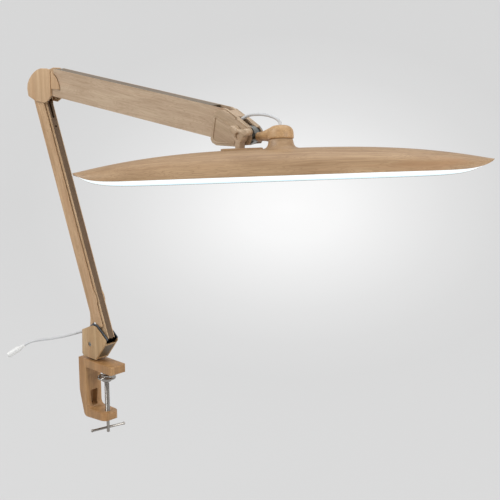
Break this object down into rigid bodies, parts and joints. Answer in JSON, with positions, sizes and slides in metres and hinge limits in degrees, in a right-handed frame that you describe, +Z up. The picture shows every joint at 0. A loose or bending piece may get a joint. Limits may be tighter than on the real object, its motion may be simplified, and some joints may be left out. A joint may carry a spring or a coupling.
{
  "type": "clamp desk lamp",
  "caption": "Clamp desk lamp with two balanced arms of nested channels, a long slim light head and a light wood-grain finish.",
  "frame": {"origin": "on the upper jaw's underside at the clamp screw's axis, where the lamp rests on the desk's top face", "axes": "+Z up, +X along the upper jaw and out over the desk, +Y to the far side of the arms"},
  "size_m": [0.7448, 0.4027, 0.5772],
  "materials": {
    "wood_print": "light wood-grain transfer print, satin lacquer",
    "wood_print_moulded": "light wood-grain transfer print on moulded plastic, satin lacquer",
    "wood_print_dark": "the same wood-grain print in shade, satin",
    "chrome": "bright plated steel",
    "steel": "zinc-plated steel",
    "dark_steel": "dark phosphated steel",
    "black_plastic": "black nylon",
    "driver_black": "black moulded parts",
    "cable_white": "white flexible sheath",
    "white_plastic": "white moulded plastic",
    "diffuser_white": "opal diffuser, lit cool white",
    "tray_white": "white reflector paint",
    "board_white": "white solder mask",
    "board_green": "green solder mask",
    "phosphor": "yellow phosphor"
  },
  "bodies": {
    "base": {"clamp_frame": "wood_print", "swivel_bush": "black_plastic"},
    "turret": {"bracket_cover": "wood_print", "bracket_liner": "dark_steel", "swivel_post": "steel", "swivel_collar": "steel", "post_clip": "steel", "shoulder_screws": "steel", "shoulder_pin": "steel", "lead_grommet": "black_plastic", "supply_lead": "cable_white", "lead_connector": "white_plastic", "socket_pin": "steel"},
    "pad": {"pressure_disc": "chrome"},
    "screw": {"clamp_screw": "chrome"},
    "bar": {"tommy_bar": "chrome"},
    "lower_arm": {"lower_outer_channel": "wood_print", "lower_spring_anchor": "steel", "lower_arm_cable": "cable_white", "lower_spring": "chrome"},
    "lower_link": {"lower_inner_channel": "wood_print_dark"},
    "elbow": {"elbow_hub": "wood_print", "elbow_cover_near": "wood_print", "elbow_cover_far": "wood_print", "elbow_rivets": "steel", "elbow_pin": "steel"},
    "upper_arm": {"upper_outer_channel": "wood_print", "upper_spring_anchor": "steel", "upper_arm_cable": "cable_white", "upper_spring": "chrome"},
    "upper_link": {"upper_inner_channel": "wood_print_dark"},
    "wrist": {"wrist_plate_near": "wood_print", "wrist_plate_far": "wood_print", "wrist_hood": "wood_print", "wrist_rivets": "steel", "wrist_pin": "steel", "tilt_bolt": "steel", "tilt_nut": "steel", "friction_washers": "steel"},
    "knob": {"friction_knob": "wood_print_moulded"},
    "tilt_eye": {"tilt_barrel": "steel", "head_cable": "cable_white"},
    "neck": {"neck_and_bulb": "wood_print_moulded"},
    "head": {"head_spindle": "steel", "spindle_nut": "steel", "shade": "wood_print_moulded", "switch_plate": "wood_print_moulded", "switch_board": "board_green", "tact_switches": "driver_black", "diffuser": "diffuser_white", "reflector_tray": "tray_white", "diode_board": "board_white", "diode_chips": "phosphor", "driver_board": "board_green", "driver_parts": "driver_black", "tray_screws": "steel"},
    "power_key": {"power_button": "wood_print_dark"},
    "dimmer_key": {"dimmer_button": "wood_print_dark"}
  },
  "joints": [
    {"name": "bracket_swivel", "type": "hinge", "parent": "base", "child": "turret", "pos_m": [-0.026, 0, 0.0154], "axis": [0, 0, 1], "range_deg": [-170, 170]},
    {"name": "screw_turn", "type": "hinge", "parent": "pad", "child": "screw", "pos_m": [0, 0, -0.06], "axis": [0, 0, 1], "range_deg": [-8290, 1882]},
    {"name": "pad_travel", "type": "slide", "parent": "base", "child": "pad", "axis": [0, 0, 1], "range_m": [-0.046, 0.0104]},
    {"name": "bar_slide", "type": "slide", "parent": "screw", "child": "bar", "axis": [0.2079, 0.9781, 0], "range_m": [-0.022, 0.022]},
    {"name": "lower_arm_swing", "type": "hinge", "parent": "turret", "child": "lower_arm", "pos_m": [-0.0244, 0, 0.04], "axis": [0, 1, 0], "range_deg": [-22, 40]},
    {"name": "lower_link_swing", "type": "hinge", "parent": "turret", "child": "lower_link", "pos_m": [0.006, 0, 0.058], "axis": [0, 1, 0], "range_deg": [-22.2, 40.2]},
    {"name": "elbow_level", "type": "hinge", "parent": "lower_arm", "child": "elbow", "pos_m": [-0.14805, 0, 0.43699], "axis": [0, 1, 0], "range_deg": [-40.2, 22.2], "deforming": ["lower_spring"]},
    {"name": "upper_arm_swing", "type": "hinge", "parent": "elbow", "child": "upper_arm", "pos_m": [-0.11005, 0, 0.43699], "axis": [0, 1, 0], "range_deg": [-65, 40], "deforming": ["upper_spring"]},
    {"name": "upper_link_swing", "type": "hinge", "parent": "elbow", "child": "upper_link", "pos_m": [-0.11765, 0, 0.45499], "axis": [0, 1, 0], "range_deg": [-65.2, 40.2]},
    {"name": "wrist_level", "type": "hinge", "parent": "upper_arm", "child": "wrist", "pos_m": [0.28094, 0, 0.40141], "axis": [0, 1, 0], "range_deg": [-40.2, 65.2]},
    {"name": "knob_turn", "type": "hinge", "parent": "wrist", "child": "knob", "pos_m": [0.31694, -0.018, 0.40491], "axis": [0, -1, 0], "range_deg": [-360, 360]},
    {"name": "head_tilt", "type": "hinge", "parent": "wrist", "child": "tilt_eye", "pos_m": [0.31694, 0, 0.40491], "axis": [0, 1, 0], "range_deg": [-40, 8], "deforming": ["head_cable"]},
    {"name": "neck_roll", "type": "hinge", "parent": "tilt_eye", "child": "neck", "pos_m": [0.33058, 0, 0.40316], "axis": [0.9789, 0, 0.2045], "range_deg": [-12, 20]},
    {"name": "head_swivel", "type": "hinge", "parent": "neck", "child": "head", "pos_m": [0.37184, -0.00128, 0.40371], "axis": [-0.2019, 0.1599, 0.9663], "range_deg": [-135, 45]},
    {"name": "power_press", "type": "slide", "parent": "head", "child": "power_key", "axis": [-0.2019, 0.1599, 0.9663], "range_m": [-0.0008, 0], "stiffness_N_per_m": 900, "springref_m": 0.0003},
    {"name": "dimmer_press", "type": "slide", "parent": "head", "child": "dimmer_key", "axis": [-0.2019, 0.1599, 0.9663], "range_m": [-0.0008, 0], "stiffness_N_per_m": 900, "springref_m": 0.0003}
  ],
  "couplings": [
    {"joint": "screw_turn", "follows": "pad_travel", "rad_per_m": 3141.6},
    {"joint": "lower_link_swing", "follows": "lower_arm_swing", "ratio": 1},
    {"joint": "elbow_level", "follows": "lower_arm_swing", "ratio": -1},
    {"joint": "upper_link_swing", "follows": "upper_arm_swing", "ratio": 1},
    {"joint": "wrist_level", "follows": "upper_arm_swing", "ratio": -1}
  ]
}
